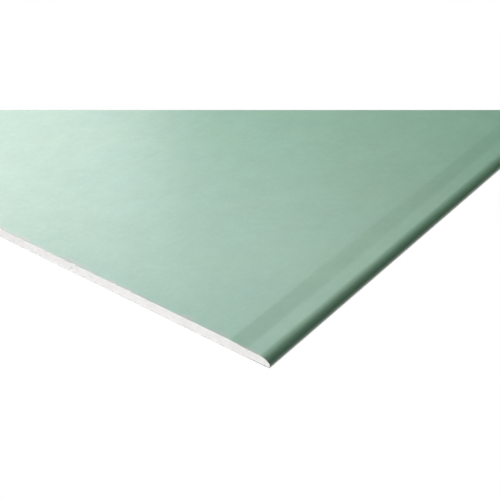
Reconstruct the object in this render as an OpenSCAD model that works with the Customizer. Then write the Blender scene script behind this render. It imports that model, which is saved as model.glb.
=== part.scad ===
// Paper-faced gypsum board with tapered, half-round long edges and square cut ends.
// The sheet lies on its back: width along X, length along Y, the green face up.

/* [Sheet] */
// Length between the two cut ends
sheet_length = 2500; // [1200:50:4000]
// Width across the two long edges
sheet_width = 1200; // [600:10:1250]
// Thickness in the middle, both papers included
sheet_thickness = 12.5; // [11:0.5:18]

/* [Taper] */
// Distance from the edge at which the face starts to slope down
taper_start = 53; // [46:1:80]
// Distance from the edge at which the slope ends in a flat ledge
ledge_start = 31; // [22:1:42]
// Depth of the ledge below the face
taper_depth = 1.6; // [0.4:0.1:2.4]
// Radius that blends the slope into the face and into the ledge
blend_radius = 70; // [20:5:120]

/* [Half-round edge] */
// Length of the rounded nose, from the ledge to the tip
nose_length = 14; // [12:0.5:20]
// Radius on the face side of the tip
tip_radius = 5; // [3.5:0.25:6]
// Radius from the tip round to the back
back_radius = 2.5; // [1:0.25:3.5]

/* [Papers] */
// Thickness of the face paper, which wraps round the long edges
face_paper_thickness = 0.35; // [0.2:0.05:0.6]
// Thickness of the back paper
back_paper_thickness = 0.3; // [0.2:0.05:0.6]
// Width of the face paper's fold on the back, from the edge
fold_width = 30; // [22:1:45]
// Strip of the fold that the back paper leaves bare along the edge
back_margin = 12; // [6:1:18]

/* [Hidden] */
// Largest turn between two points of an arc, in degrees
arc_step = 3;

// Heights of the face, the ledge, the fold's outer side and the nose's tip
face_z = sheet_thickness;
ledge_z = face_z - taper_depth;
fold_z = back_paper_thickness;
tip_z = fold_z + back_radius;

// Distances of the section's features from the sheet's middle
edge_x = sheet_width / 2;
slope_top_x = edge_x - taper_start;
slope_foot_x = edge_x - ledge_start;
fold_x = edge_x - fold_width;
back_paper_x = edge_x - back_margin;

// The slope, and the length that each blend takes from the flats beside it
slope_angle = atan(taper_depth / (taper_start - ledge_start));
blend_length = blend_radius * tan(slope_angle / 2);
slope_top_centre = [slope_top_x - blend_length, face_z - blend_radius];
slope_foot_centre = [slope_foot_x + blend_length, ledge_z + blend_radius];

// The nose's upper arc leaves the ledge level and runs smoothly into the tip's arc
nose_rise = ledge_z - tip_z;
nose_radius = (pow(nose_length - tip_radius, 2) + pow(nose_rise, 2) - pow(tip_radius, 2))
    / (2 * (nose_rise - tip_radius));
nose_centre = [edge_x - nose_length, ledge_z - nose_radius];
tip_centre = [edge_x - tip_radius, tip_z];
back_centre = [edge_x - back_radius, tip_z];
nose_turn = atan2(tip_centre.y - nose_centre.y, tip_centre.x - nose_centre.x);

// Points of an arc; one that carries on from another arc leaves out the point they share
function arc(centre, radius, from, to, carries_on = false) =
    let (steps = ceil(abs(to - from) / arc_step))
    [for (i = [carries_on ? 1 : 0 : steps])
        let (angle = from + (to - from) * i / steps)
        centre + radius * [cos(angle), sin(angle)]];

function reversed(points) = [for (i = [len(points) - 1 : -1 : 0]) points[i]];

function mirrored(points) = [for (p = reversed(points)) [-p.x, p.y]];

// One long edge from the face to the back, at a depth inside the sheet's outer surface
function edge_line(depth) = concat(
    arc(slope_top_centre, blend_radius - depth, 90, 90 - slope_angle),
    arc(slope_foot_centre, blend_radius + depth, 270 - slope_angle, 270),
    arc(nose_centre, nose_radius - depth, 90, nose_turn),
    arc(tip_centre, tip_radius - depth, nose_turn, 0, carries_on = true),
    arc(back_centre, back_radius - depth, 0, -90, carries_on = true)
);

// The face paper's run from one fold's end, over the face, to the other fold's end
function face_paper_line(depth) =
    let (half = concat(edge_line(depth), [[fold_x, fold_z + depth]]))
    concat(mirrored(half), half);

module along_the_sheet() {
    rotate([90, 0, 0])
        linear_extrude(height = sheet_length, center = true)
            children();
}

// Gypsum that fills the papers, with a shallow step on its back for each fold
module gypsum_core() {
    back_step = [[fold_x, back_paper_thickness], [-fold_x, back_paper_thickness]];
    color("#efedeb")
        along_the_sheet()
            polygon(concat(face_paper_line(face_paper_thickness), back_step));
}

// Green paper over the face, round both long edges and folded onto the back
module face_paper() {
    color("#9fc4b3")
        along_the_sheet()
            polygon(concat(face_paper_line(0), reversed(face_paper_line(face_paper_thickness))));
}

// Plain paper on the back, lapped over both folds
module back_paper() {
    color("#c9c3b8")
        along_the_sheet()
            translate([-back_paper_x, 0])
                square([2 * back_paper_x, back_paper_thickness]);
}

gypsum_core();
face_paper();
back_paper();
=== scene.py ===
import math

import bpy
import numpy as np
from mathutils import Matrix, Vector, noise


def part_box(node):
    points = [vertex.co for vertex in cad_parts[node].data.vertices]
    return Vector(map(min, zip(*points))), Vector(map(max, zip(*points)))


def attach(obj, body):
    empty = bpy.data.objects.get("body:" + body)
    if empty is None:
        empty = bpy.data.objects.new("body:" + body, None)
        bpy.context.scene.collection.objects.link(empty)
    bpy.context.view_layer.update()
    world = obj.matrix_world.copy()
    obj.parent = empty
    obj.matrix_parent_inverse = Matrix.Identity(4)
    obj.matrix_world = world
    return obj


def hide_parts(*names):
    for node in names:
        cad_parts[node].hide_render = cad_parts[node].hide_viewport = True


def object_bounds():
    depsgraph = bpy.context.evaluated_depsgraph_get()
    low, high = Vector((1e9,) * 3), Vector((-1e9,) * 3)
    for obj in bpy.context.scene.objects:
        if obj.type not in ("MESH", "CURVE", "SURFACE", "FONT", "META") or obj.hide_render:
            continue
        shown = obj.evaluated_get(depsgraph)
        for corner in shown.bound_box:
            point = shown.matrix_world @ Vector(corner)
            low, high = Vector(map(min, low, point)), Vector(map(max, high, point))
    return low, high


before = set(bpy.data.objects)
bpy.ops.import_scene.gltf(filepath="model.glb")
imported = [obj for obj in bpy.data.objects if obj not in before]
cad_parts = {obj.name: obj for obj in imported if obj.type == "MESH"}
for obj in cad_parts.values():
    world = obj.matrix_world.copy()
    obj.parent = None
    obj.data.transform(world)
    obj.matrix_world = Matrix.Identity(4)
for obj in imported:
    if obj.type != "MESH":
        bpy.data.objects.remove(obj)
cad_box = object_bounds()
scene = bpy.context.scene

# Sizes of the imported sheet, in metres
MM = 0.001
near_y = cad_box[0].y
far_y = cad_box[1].y
edge_x = cad_box[1].x
face_z = cad_box[1].z
fold_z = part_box("face_paper")[0].z

# How closely the CAD nodes are read
SNAP = 1e-6
DIGITS = 6

# How finely the pieces are modelled
PAPER_STEP = 1.2 * MM
PLAIN_STATIONS = 11
CORE_STEP = 0.65 * MM
CORE_ROWS = 19
SHARP_ANGLE = math.radians(30)

# Cut paper steps back from the true end in (wavelength, depth) ripples, with a nick here and there.
# The cut is cleaner at the back than at the face.
PAPER_RIPPLES = ((34 * MM, 0.30 * MM), (7 * MM, 0.22 * MM), (2.4 * MM, 0.16 * MM))
NICK_SPACING = 11 * MM
NICK_LEVEL = 0.42
NICK_DEPTH = 2.2 * MM
FRAY_AT_BACK = 0.25

# Broken gypsum at the cut ends: (wavelength, depth) roughness, air pores, and chips along the papers.
# No pore or chip has its middle in the thin tips.
CORE_RIPPLES = ((22 * MM, 0.25 * MM), (6 * MM, 0.22 * MM), (1.9 * MM, 0.14 * MM))
SOUND_TIP = 12 * MM
PORE_COUNT = 800
PORE_RADII = (0.45 * MM, 1.15 * MM)
PORE_DEPTH_SHARE = 0.36
LOWEST_PORE = 2 * MM
CHIP_COUNT = 60
CHIP_WIDTHS = (2 * MM, 8 * MM)
CHIP_HEIGHTS = (0.7 * MM, 1.8 * MM)
CHIP_DEPTHS = (0.2 * MM, 0.8 * MM)
FACE_CHIP_SHARE = 0.5

# Seeds of the near and the far end, and how far apart in the noise one seed's ripples and nicks lie
FACE_PAPER_SEEDS = (3, 4)
BACK_PAPER_SEEDS = (17, 18)
CORE_SEEDS = (5, 29)
RIPPLES_APART = 10
NICKS_APART = 0.5


# Sections, read from the near ends of the CAD nodes

def end_loop(node):
    """Outline of a node's near end as (x, z) points in order."""
    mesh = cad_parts[node].data
    steps = set()
    for face in mesh.polygons:
        corners = [mesh.vertices[i].co for i in face.vertices]
        if all(abs(c.y - near_y) < SNAP for c in corners):
            points = [(round(c.x, DIGITS), round(c.z, DIGITS)) for c in corners]
            steps.update(zip(points, points[1:] + points[:1]))
    onward = {a: b for a, b in steps if (b, a) not in steps}
    loop = [min(onward)]
    while len(loop) < len(onward):
        loop.append(onward[loop[-1]])
    return loop


def runs_between(loop, a, b):
    """The two ways round a closed loop from point a to point b."""
    i = loop.index(a)
    turned = loop[i:] + loop[:i]
    j = turned.index(b)
    return turned[:j + 1], [turned[0]] + turned[:j - 1:-1]


def subdivided(line, other, spacing):
    """Two lines side by side, with points added so that no step of the first is longer than spacing."""
    pairs = np.hstack((line, other))
    fine = [pairs[:1]]
    for a, b in zip(pairs, pairs[1:]):
        parts = max(1, math.ceil(math.dist(a[:2], b[:2]) / spacing))
        shares = np.arange(1, parts + 1)[:, None] / parts
        fine.append(a + (b - a) * shares)
    fine = np.vstack(fine)
    return fine[:, :2], fine[:, 2:]


# Mesh pieces

def new_piece(name, vertices, faces, node, materials):
    """A closed mesh under the root body that stands for a CAD node, and hides that node."""
    mesh = bpy.data.meshes.new(name)
    mesh.from_pydata(vertices, [], faces)
    mesh.polygons.foreach_set("use_smooth", [True] * len(mesh.polygons))
    mesh.set_sharp_from_angle(angle=SHARP_ANGLE)
    for material in materials:
        mesh.materials.append(material)
    piece = bpy.data.objects.new(name, mesh)
    scene.collection.objects.link(piece)
    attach(piece, "root")
    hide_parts(node)
    return piece


def sides_between(ring, next_ring):
    """Faces that join two rings of vertices, step by step round them."""
    return list(zip(ring, ring[1:] + ring[:1], next_ring[1:] + next_ring[:1], next_ring))


def flipped(faces):
    """The same faces, turned to look the other way."""
    return [face[::-1] for face in faces]


def ripple(places, ripples, seed):
    """Sum of smooth ripples at a list of places, each from zero to its depth."""
    total = np.zeros(len(places))
    for k, (wavelength, depth) in enumerate(ripples):
        apart = Vector((0, 0, seed + k * RIPPLES_APART))
        total += [depth * (0.5 + 0.5 * noise.noise(place / wavelength + apart)) for place in places]
    return total


def fray_at(z):
    """Share of the full wear at a height: all of it at the face, little at the back."""
    return FRAY_AT_BACK + (1 - FRAY_AT_BACK) * z / face_z


# Papers

def ragged(line, seed):
    """How far a cut paper edge steps back from the true end, at each point of a line."""
    places = [Vector((x, z, 0)) for x, z in line]
    nick_places = [Vector((x / NICK_SPACING, z / NICK_SPACING, seed + NICKS_APART)) for x, z in line]
    nicks = [NICK_DEPTH * max(0.0, noise.noise(place) - NICK_LEVEL) for place in nick_places]
    return fray_at(line[:, 1]) * (ripple(places, PAPER_RIPPLES, seed) + nicks)


def paper_end(ring):
    """Faces across a paper's near end, from a ring that runs along its outer line and back inside."""
    steps = range(len(ring) // 2 - 1)
    return [(ring[i], ring[-1 - i], ring[-2 - i], ring[i + 1]) for i in steps]


def paper_band(outer, inner, seeds):
    """Strip of paper between two lines, with ragged ends: its vertices, outer faces and other faces."""
    near, far = (ragged(outer, seed) for seed in seeds)
    depth = max(near.max(), far.max()) + PAPER_STEP
    plain = np.linspace(near_y + depth, far_y - depth, PLAIN_STATIONS)
    rows = [near_y + near, *(np.full(len(outer), y) for y in plain), far_y - far]
    x, z = np.vstack((outer, inner[::-1])).T
    vertices = []
    rings = []
    for row in rows:
        rings.append(list(range(len(vertices), len(vertices) + len(x))))
        vertices.extend(zip(x, [*row, *row[::-1]], z))
    outer_faces = []
    other_faces = paper_end(rings[0]) + flipped(paper_end(rings[-1]))
    for ring, next_ring in zip(rings, rings[1:]):
        sides = sides_between(ring, next_ring)
        outer_faces += sides[:len(outer) - 1]
        other_faces += sides[len(outer) - 1:]
    return vertices, outer_faces, other_faces


def paper_piece(name, outer, inner, seeds, node, materials):
    """A paper in two materials: one on its outer side, and one on its inner side and cut edges."""
    vertices, outer_faces, other_faces = paper_band(outer, inner, seeds)
    piece = new_piece(name, vertices, outer_faces + other_faces, node, materials)
    indices = [0] * len(outer_faces) + [1] * len(other_faces)
    piece.data.polygons.foreach_set("material_index", indices)


def face_paper_sheet(materials):
    """The green paper, from one fold on the back, over the face, to the other fold."""
    loop = end_loop("face_paper")
    low = [p for p in loop if abs(p[1] - fold_z) < SNAP]
    left_fold = max(p for p in low if p[0] < 0)
    right_fold = min(p for p in low if p[0] > 0)
    # The run inside the paper is the longer one, because it also holds the ends of the outer run
    outer, inner = sorted(runs_between(loop, left_fold, right_fold), key=len)
    outer, inner = subdivided(outer, inner[1:-1], PAPER_STEP)
    paper_piece("face_paper_sheet", outer, inner, FACE_PAPER_SEEDS, "face_paper", materials)


def back_paper_sheet(materials):
    """The plain paper on the back."""
    lo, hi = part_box("back_paper")
    below = [(hi.x, lo.z), (lo.x, lo.z)]
    above = [(hi.x, hi.z), (lo.x, hi.z)]
    outer, inner = subdivided(below, above, PAPER_STEP)
    paper_piece("back_paper_sheet", outer, inner, BACK_PAPER_SEEDS, "back_paper", materials)


# Gypsum core

def core_outline():
    """The two tips of the core's section, and the lines that join them below and above."""
    loop = end_loop("gypsum_core")
    tips = min(loop), max(loop)
    lines = [np.array(line) for line in runs_between(loop, *tips)]
    lower, upper = sorted(lines, key=lambda line: line[:, 1].max())
    # The upright steps beside the folds lean by a hair, so that each x has one z
    for k in range(1, len(lower)):
        lower[k][0] = max(lower[k][0], lower[k - 1][0] + SNAP)
    return tips, lower, upper


def core_columns(lower, upper):
    """Each x at which the core's section is divided, between its tips."""
    marks = sorted({*upper[:, 0], *lower[:, 0]})
    columns = [marks[0]]
    for a, b in zip(marks, marks[1:]):
        parts = max(1, math.ceil((b - a) / CORE_STEP))
        columns.extend(np.linspace(a, b, parts + 1)[1:])
    return np.array(columns[1:-1])


def broken_end(x, z, low, high, seed):
    """How far broken gypsum lies behind the true end, at points (x, z) of a section from low to high."""
    depth = ripple([Vector((a, b, 0)) for a, b in zip(x, z)], CORE_RIPPLES, seed)
    random = np.random.default_rng(seed)
    reach = edge_x - SOUND_TIP
    for _ in range(PORE_COUNT):
        radius = random.uniform(*PORE_RADII)
        place = random.uniform(-reach, reach)
        height = random.uniform(LOWEST_PORE, face_z)
        away = (x - place) ** 2 + (z - height) ** 2
        depth += PORE_DEPTH_SHARE * np.sqrt(np.maximum(0, radius ** 2 - away))
    for _ in range(CHIP_COUNT):
        place = random.uniform(-reach, reach)
        width = random.uniform(*CHIP_WIDTHS)
        height = random.uniform(*CHIP_HEIGHTS)
        border = high if random.random() < FACE_CHIP_SHARE else low
        deepest = fray_at(border) * random.uniform(*CHIP_DEPTHS)
        away = ((x - place) / width) ** 2 + ((z - border) / height) ** 2
        depth += deepest * np.sqrt(np.maximum(0, 1 - away))
    return depth


def core_end(grid, left_tip, right_tip):
    """Faces across the core's near end, between the columns of a grid of vertices and the two tips."""
    faces = [(left_tip, a, b) for a, b in zip(grid[0], grid[0][1:])]
    faces += [(a, right_tip, b) for a, b in zip(grid[-1], grid[-1][1:])]
    for column, next_column in zip(grid, grid[1:]):
        faces += zip(column, next_column, next_column[1:], column[1:])
    return faces


def core_ring(grid, left_tip, right_tip):
    """Vertices round an end of the core, from the left tip over the top to the right tip and back."""
    top = [column[-1] for column in grid]
    bottom = [column[0] for column in grid]
    return [left_tip, *top, right_tip, *bottom[::-1]]


def gypsum_body(materials):
    """The core: smooth along its length, broken gypsum at both ends."""
    tips, lower, upper = core_outline()
    columns = core_columns(lower, upper)
    shares = np.linspace(0, 1, CORE_ROWS + 1)
    x = np.repeat(columns, len(shares))
    low = np.interp(x, *lower.T)
    high = np.interp(x, *upper.T)
    z = low + (high - low) * np.tile(shares, len(columns))
    vertices = []
    faces = []
    rings = []
    for end_y, inwards, seed in zip((near_y, far_y), (1, -1), CORE_SEEDS):
        tip_indices = len(vertices), len(vertices) + 1
        vertices += [(tip_x, end_y, tip_z) for tip_x, tip_z in tips]
        indices = len(vertices) + np.arange(len(x))
        grid = indices.reshape(len(columns), len(shares)).tolist()
        vertices.extend(zip(x, end_y + inwards * broken_end(x, z, low, high, seed), z))
        end_faces = core_end(grid, *tip_indices)
        faces += end_faces if inwards > 0 else flipped(end_faces)
        rings.append(core_ring(grid, *tip_indices))
    faces += sides_between(*rings)
    new_piece("gypsum_body", vertices, faces, "gypsum_core", materials)


# Colours in linear light. A pair is a dark and a light one, or for the cast a cool and a warm one.
WHITE = (1, 1, 1, 1)
GREEN = ((0.2175, 0.400, 0.291, 1), (0.2825, 0.520, 0.379, 1))
GREEN_CAST = ((0.935, 1, 1.065, 1), (1.065, 1, 0.935, 1))
GREEN_FLECK = (0.16, 0.30, 0.22, 1)
WORN_GREEN = (0.41, 0.41, 0.375, 1)
PLY = ((0.38, 0.36, 0.33, 1), (0.58, 0.55, 0.52, 1))
DUST = ((0.58, 0.56, 0.54, 1), (0.86, 0.84, 0.83, 1))
CHALK = ((0.80, 0.785, 0.775, 1), (0.92, 0.915, 0.91, 1))
BUFF = ((0.50, 0.465, 0.405, 1), (0.62, 0.59, 0.53, 1))
BUFF_FLECK = (0.2, 0.17, 0.13, 1)

# Wear of the green paper along the cut ends. Patch size, reach and soft border are in millimetres.
WEAR_SIZE = 12
WEAR_STRETCH = (1.8, 1, 1)
WEAR_LEVELS = (0.33, 0.63)
WEAR_REACH = 9
WEAR_FADE = 7
WEAR_STRENGTH = 0.75

# Fibres and mottle are drawn out along the sheet. The colour cast is read in another part of the noise
# than the tone, and a fleck has its full colour over a share of its radius.
FIBRE_STRETCH = (1, 4, 1)
MOTTLE_STRETCH = (1, 1.3, 1)
CAST_OFFSET = (4000, 0, 0)
FLECK_FULL_SHARE = 0.5


# Material nodes. Places and sizes in them are in millimetres.

def add(tree, kind, inputs=None, **settings):
    """Adds a shader node; an input that is a socket is linked, and any other is set."""
    node = tree.nodes.new("ShaderNode" + kind)
    for name, value in settings.items():
        setattr(node, name, value)
    for key, value in (inputs or {}).items():
        if isinstance(value, bpy.types.NodeSocket):
            tree.links.new(value, node.inputs[key])
        else:
            node.inputs[key].default_value = value
    return node


def new_material(name):
    """A material with its tree, its shader, and a place on the sheet in millimetres."""
    material = bpy.data.materials.new(name)
    material.use_nodes = True
    tree = material.node_tree
    shader = tree.nodes["Principled BSDF"]
    place = add(tree, "TexCoord").outputs["Object"]
    millimetres = add(tree, "VectorMath", {0: place, "Scale": 1 / MM}, operation="SCALE").outputs[0]
    return material, tree, shader, millimetres


def coloured(tree, shader, colour, roughness):
    """Gives a shader its colour and its roughness."""
    tree.links.new(colour, shader.inputs["Base Color"])
    shader.inputs["Roughness"].default_value = roughness


def bumped(tree, shader, height, strength, distance):
    """Gives a shader a relief; distance is in metres."""
    bump = add(tree, "Bump", {"Height": height, "Strength": strength, "Distance": distance})
    tree.links.new(bump.outputs[0], shader.inputs["Normal"])


def math_node(tree, operation, *values):
    """Result of a mathematical operation."""
    return add(tree, "Math", dict(enumerate(values)), operation=operation).outputs[0]


def ramp(tree, value, start, stop, first, last):
    """A value carried over from one range, start to stop, to another, and held at its ends."""
    return add(tree, "MapRange", {0: value, 1: start, 2: stop, 3: first, 4: last}).outputs[0]


def mixed(tree, factor, one, other, blend="MIX"):
    """One colour that gives way to another by a factor, or is multiplied by it."""
    # In a colour mix, sockets 6 and 7 take the colours, and socket 2 gives the result
    return add(tree, "Mix", {0: factor, 6: one, 7: other}, data_type="RGBA", blend_type=blend).outputs[2]


def clouds(tree, place, size, detail=2, stretch=(1, 1, 1), fineness=0.5):
    """Noise with blotches of about size millimetres, drawn out by stretch, and finer ones in them."""
    scale = tuple(1 / (size * s) for s in stretch)
    scaled = add(tree, "VectorMath", {0: place, 1: scale}, operation="MULTIPLY").outputs[0]
    inputs = {"Vector": scaled, "Scale": 1, "Detail": detail, "Roughness": fineness}
    return add(tree, "TexNoise", inputs).outputs[0]


def weighted(tree, *parts):
    """Sum of (value, weight) pairs round a middle of one half."""
    total = 0.5
    for value, weight in parts:
        swing = math_node(tree, "MULTIPLY_ADD", value, weight, -0.5 * weight)
        total = math_node(tree, "ADD", total, swing)
    return total


def flecked(tree, place, paper, colour, spacing, radius, strength):
    """Paper with round flecks of another colour, about spacing millimetres apart."""
    scaled = add(tree, "VectorMath", {0: place, "Scale": 1 / spacing}, operation="SCALE").outputs[0]
    distance = add(tree, "TexVoronoi", {"Vector": scaled, "Scale": 1}).outputs["Distance"]
    rim = radius / spacing
    fleck = ramp(tree, distance, start=FLECK_FULL_SHARE * rim, stop=rim, first=strength, last=0)
    return mixed(tree, fleck, paper, colour)


def from_cut_end(tree, place):
    """Distance from the nearer cut end, in millimetres."""
    along = add(tree, "SeparateXYZ", {0: place}).outputs[1]
    return math_node(tree, "SUBTRACT", far_y / MM, math_node(tree, "ABSOLUTE", along))


def worn(tree, place):
    """How much the green is rubbed off down to the plies below it, in soft patches along the cut ends."""
    patches = clouds(tree, place, WEAR_SIZE, stretch=WEAR_STRETCH)
    reach = ramp(tree, patches, *WEAR_LEVELS, first=0, last=WEAR_REACH)
    within = math_node(tree, "SUBTRACT", reach, from_cut_end(tree, place))
    return ramp(tree, within, start=0, stop=WEAR_FADE, first=0, last=WEAR_STRENGTH)


# Materials

def green_paper():
    """Smooth, slightly waxy green paper: cloudy, with a faint grain along the sheet and a few flecks."""
    material, tree, shader, place = new_material("green_paper")
    broad = clouds(tree, place, size=260)
    mottle = clouds(tree, place, size=36, detail=4, stretch=MOTTLE_STRETCH, fineness=0.9)
    fibres = clouds(tree, place, size=1.3, stretch=FIBRE_STRETCH)
    tone = weighted(tree, (broad, 0.25), (mottle, 1.2), (fibres, 0.3))
    elsewhere = add(tree, "VectorMath", {0: place, 1: CAST_OFFSET}, operation="ADD").outputs[0]
    warmth = clouds(tree, elsewhere, size=70, detail=4, stretch=MOTTLE_STRETCH, fineness=0.8)
    cast = mixed(tree, warmth, *GREEN_CAST)
    paper = mixed(tree, 1, mixed(tree, tone, *GREEN), cast, blend="MULTIPLY")
    paper = flecked(tree, place, paper, GREEN_FLECK, spacing=23, radius=0.9, strength=0.3)
    paper = mixed(tree, worn(tree, place), paper, WORN_GREEN)
    coloured(tree, shader, paper, roughness=0.36)
    bumped(tree, shader, fibres, strength=0.12, distance=0.12 * MM)
    return material


def paper_ply():
    """The grey-buff inner plies that show where the green paper is cut."""
    material, tree, shader, place = new_material("paper_ply")
    tone = weighted(tree, (clouds(tree, place, size=5), 0.8), (clouds(tree, place, size=1), 0.8))
    coloured(tree, shader, mixed(tree, tone, *PLY), roughness=0.9)
    return material


def dusty_ply():
    """Cut edges and inner side of the back paper, white with gypsum dust."""
    material, tree, shader, place = new_material("dusty_ply")
    tone = weighted(tree, (clouds(tree, place, size=9), 0.9), (clouds(tree, place, size=1), 0.6))
    coloured(tree, shader, mixed(tree, tone, *DUST), roughness=0.9)
    return material


def gypsum():
    """Matt white gypsum with a fine crumbly grain."""
    material, tree, shader, place = new_material("gypsum")
    lumps = clouds(tree, place, size=9, detail=3)
    grain = clouds(tree, place, size=0.8, detail=3)
    tone = weighted(tree, (lumps, 0.7), (grain, 0.7))
    coloured(tree, shader, mixed(tree, tone, *CHALK), roughness=0.95)
    bumped(tree, shader, grain, strength=0.5, distance=0.3 * MM)
    return material


def buff_paper():
    """Matt grey-buff recycled paper with fibres and darker flecks."""
    material, tree, shader, place = new_material("buff_paper")
    broad = clouds(tree, place, size=180)
    mottle = clouds(tree, place, size=6, detail=3)
    fibres = clouds(tree, place, size=1.2, stretch=FIBRE_STRETCH)
    tone = weighted(tree, (broad, 0.3), (mottle, 0.8), (fibres, 0.6))
    paper = flecked(tree, place, mixed(tree, tone, *BUFF), BUFF_FLECK, spacing=9, radius=0.7, strength=0.5)
    coloured(tree, shader, paper, roughness=0.85)
    relief = weighted(tree, (mottle, 0.6), (fibres, 0.8))
    bumped(tree, shader, relief, strength=0.4, distance=0.2 * MM)
    return material


# Camera: its place is given from the sheet's near right corner, and its far limit crops the sheet.
# Angles are in degrees, sensor and lens in millimetres.
CAMERA_AZIMUTH = 37.46
CAMERA_ELEVATION = 33.36
CAMERA_OFFSET = Vector((0.4734, -0.6517, 0.6775))
SENSOR_WIDTH = 36
LENS = 72.6
VIEW_DEPTH = 1.5326


def direction(azimuth, elevation):
    """Direction from the sheet at these angles, in degrees: azimuth 0 is in front, 90 to the right."""
    turn, rise = math.radians(azimuth), math.radians(elevation)
    return Vector((math.sin(turn) * math.cos(rise), -math.cos(turn) * math.cos(rise), math.sin(rise)))


def put(thing, place, backwards):
    """Places a camera or a light, with its back turned in a direction."""
    thing.location = place
    thing.rotation_mode = "QUATERNION"
    thing.rotation_quaternion = backwards.to_track_quat("Z", "Y")
    scene.collection.objects.link(thing)


def add_camera():
    """The camera of the main view."""
    data = bpy.data.cameras.new("camera")
    data.sensor_width = SENSOR_WIDTH
    data.lens = LENS
    data.clip_end = VIEW_DEPTH
    camera = bpy.data.objects.new("camera", data)
    near_corner = Vector((edge_x, near_y, 0))
    put(camera, near_corner + CAMERA_OFFSET, direction(CAMERA_AZIMUTH, CAMERA_ELEVATION))
    scene.camera = camera


# Floor: white, dark only close under the rounded edge, and open below the sheet's back
FLOOR_HALF = 20
FLOOR_LAP = 14 * MM
FLOOR_Z = -0.2 * MM
SHADE_REACH = 4.5 * MM
SHADE_SAMPLES = 8
SHADE_LEVELS = (0.2, 0.47)
DARKEST_SHADE = 0.1


def floor_material():
    """White from above, darker where the sheet is close over it, and clear from below."""
    material = bpy.data.materials.new("floor")
    material.use_nodes = True
    tree = material.node_tree
    tree.nodes.clear()
    openness = add(tree, "AmbientOcclusion", {"Distance": SHADE_REACH}, samples=SHADE_SAMPLES).outputs["AO"]
    shade = ramp(tree, openness, *SHADE_LEVELS, first=DARKEST_SHADE, last=1)
    glow = add(tree, "Emission", {"Color": WHITE, "Strength": shade}).outputs[0]
    clear = add(tree, "BsdfTransparent").outputs[0]
    underneath = add(tree, "NewGeometry").outputs["Backfacing"]
    surface = add(tree, "MixShader", {0: underneath, 1: glow, 2: clear}).outputs[0]
    add(tree, "OutputMaterial", {"Surface": surface})
    return material


def add_floor():
    """A wide level frame that runs a little way under the sheet from all sides."""
    mesh = bpy.data.meshes.new("floor")
    corners = [(-1, -1), (1, -1), (1, 1), (-1, 1)]
    open_x = edge_x - FLOOR_LAP
    open_y = far_y - FLOOR_LAP
    outer = [(x * FLOOR_HALF, y * FLOOR_HALF, FLOOR_Z) for x, y in corners]
    inner = [(x * open_x, y * open_y, FLOOR_Z) for x, y in corners]
    mesh.from_pydata(outer + inner, [], sides_between([0, 1, 2, 3], [4, 5, 6, 7]))
    mesh.materials.append(floor_material())
    floor = bpy.data.objects.new("floor", mesh)
    floor.visible_diffuse = False
    floor.visible_shadow = False
    scene.collection.objects.link(floor)


# World: white behind the sheet, and on it only the light that bounces up from the floor
BOUNCE = 0.2


def add_world():
    """White to the camera, and a weak light from below to all else."""
    world = bpy.data.worlds.new("studio")
    world.use_nodes = True
    scene.world = world
    tree = world.node_tree
    tree.nodes.clear()
    seen = add(tree, "Background", {"Color": WHITE}).outputs[0]
    height = add(tree, "SeparateXYZ", {0: add(tree, "TexCoord").outputs["Generated"]}).outputs[2]
    from_below = math_node(tree, "LESS_THAN", height, 0)
    bounce = math_node(tree, "MULTIPLY", from_below, BOUNCE)
    dim = add(tree, "Background", {"Color": WHITE, "Strength": bounce}).outputs[0]
    by_camera = add(tree, "LightPath").outputs["Is Camera Ray"]
    surface = add(tree, "MixShader", {0: by_camera, 1: dim, 2: seen}).outputs[0]
    add(tree, "OutputWorld", {"Surface": surface})


# Soft boxes: square lights, each a share of its distance wide, aimed at one of three places:
# the corner that the camera sees, the far end or the middle
SOFTBOX_SHARE = 0.4
LIT_FROM_EDGE = 0.3
LIT_FROM_END = 0.35
LIT_CORNER = Vector((edge_x - LIT_FROM_EDGE, near_y + LIT_FROM_END, 0))
FAR_END = Vector((0, far_y, 0))
MIDDLE = Vector((0, 0, 0))


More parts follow.
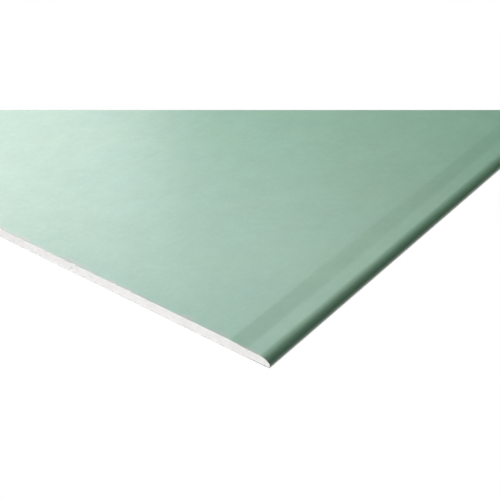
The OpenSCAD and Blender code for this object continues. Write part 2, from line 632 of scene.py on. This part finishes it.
def softbox(name, azimuth, elevation, distance, strength, tint=(1, 1, 1), glare=True, aim=LIT_CORNER):
    """A light; its strength is the brightness of a white card that faces it where it is aimed at."""
    data = bpy.data.lights.new(name, "AREA")
    data.size = SOFTBOX_SHARE * distance
    data.energy = strength * (math.pi * distance) ** 2
    data.color = tint
    light = bpy.data.objects.new(name, data)
    towards = direction(azimuth, elevation)
    put(light, aim + towards * distance, towards)
    light.visible_camera = False
    light.visible_glossy = glare


def add_glossy_lights():
    """Lights from behind the sheet that also show as a soft sheen on it."""
    softbox("back_left", azimuth=238, elevation=31, distance=4, strength=0.276, tint=(1, 0.87, 0.97))
    softbox("far_left", azimuth=252, elevation=31, distance=4, strength=0.14, tint=(1, 0.82, 0.92))
    softbox("high_left", azimuth=224, elevation=43, distance=2, strength=0.145, tint=(0.78, 0.92, 1))
    softbox("high_back", azimuth=206, elevation=43, distance=2, strength=0.13, tint=(1, 0.93, 0.94))
    softbox("top_back", azimuth=170, elevation=57, distance=1.2, strength=0.112, tint=(0.92, 1, 0.74))


def add_plain_lights():
    """Lights without sheen, for the face, the cut ends, the long edge and the back."""
    softbox("front_left", azimuth=290, elevation=31, distance=4, strength=0.445, tint=(0.99, 1, 0.99),
            glare=False)
    softbox("near_left", azimuth=310, elevation=31, distance=1.2, strength=0.463, glare=False)
    softbox("low_front", azimuth=12, elevation=6, distance=1.2, strength=0.38, glare=False)
    softbox("low_right", azimuth=114, elevation=6, distance=1.2, strength=0.054, tint=(0.85, 1, 0.7),
            glare=False)
    softbox("far_end", azimuth=180, elevation=50, distance=1.5, strength=0.4, glare=False, aim=FAR_END)
    softbox("low_back", azimuth=180, elevation=6, distance=1.2, strength=0.45, glare=False, aim=FAR_END)
    softbox("below", azimuth=180, elevation=-90, distance=6, strength=0.5, glare=False, aim=MIDDLE)


face_paper_sheet([green_paper(), paper_ply()])
gypsum_body([gypsum()])
back_paper_sheet([buff_paper(), dusty_ply()])
add_camera()
add_floor()
add_world()
add_glossy_lights()
add_plain_lights()
scene.view_settings.view_transform = "Standard"
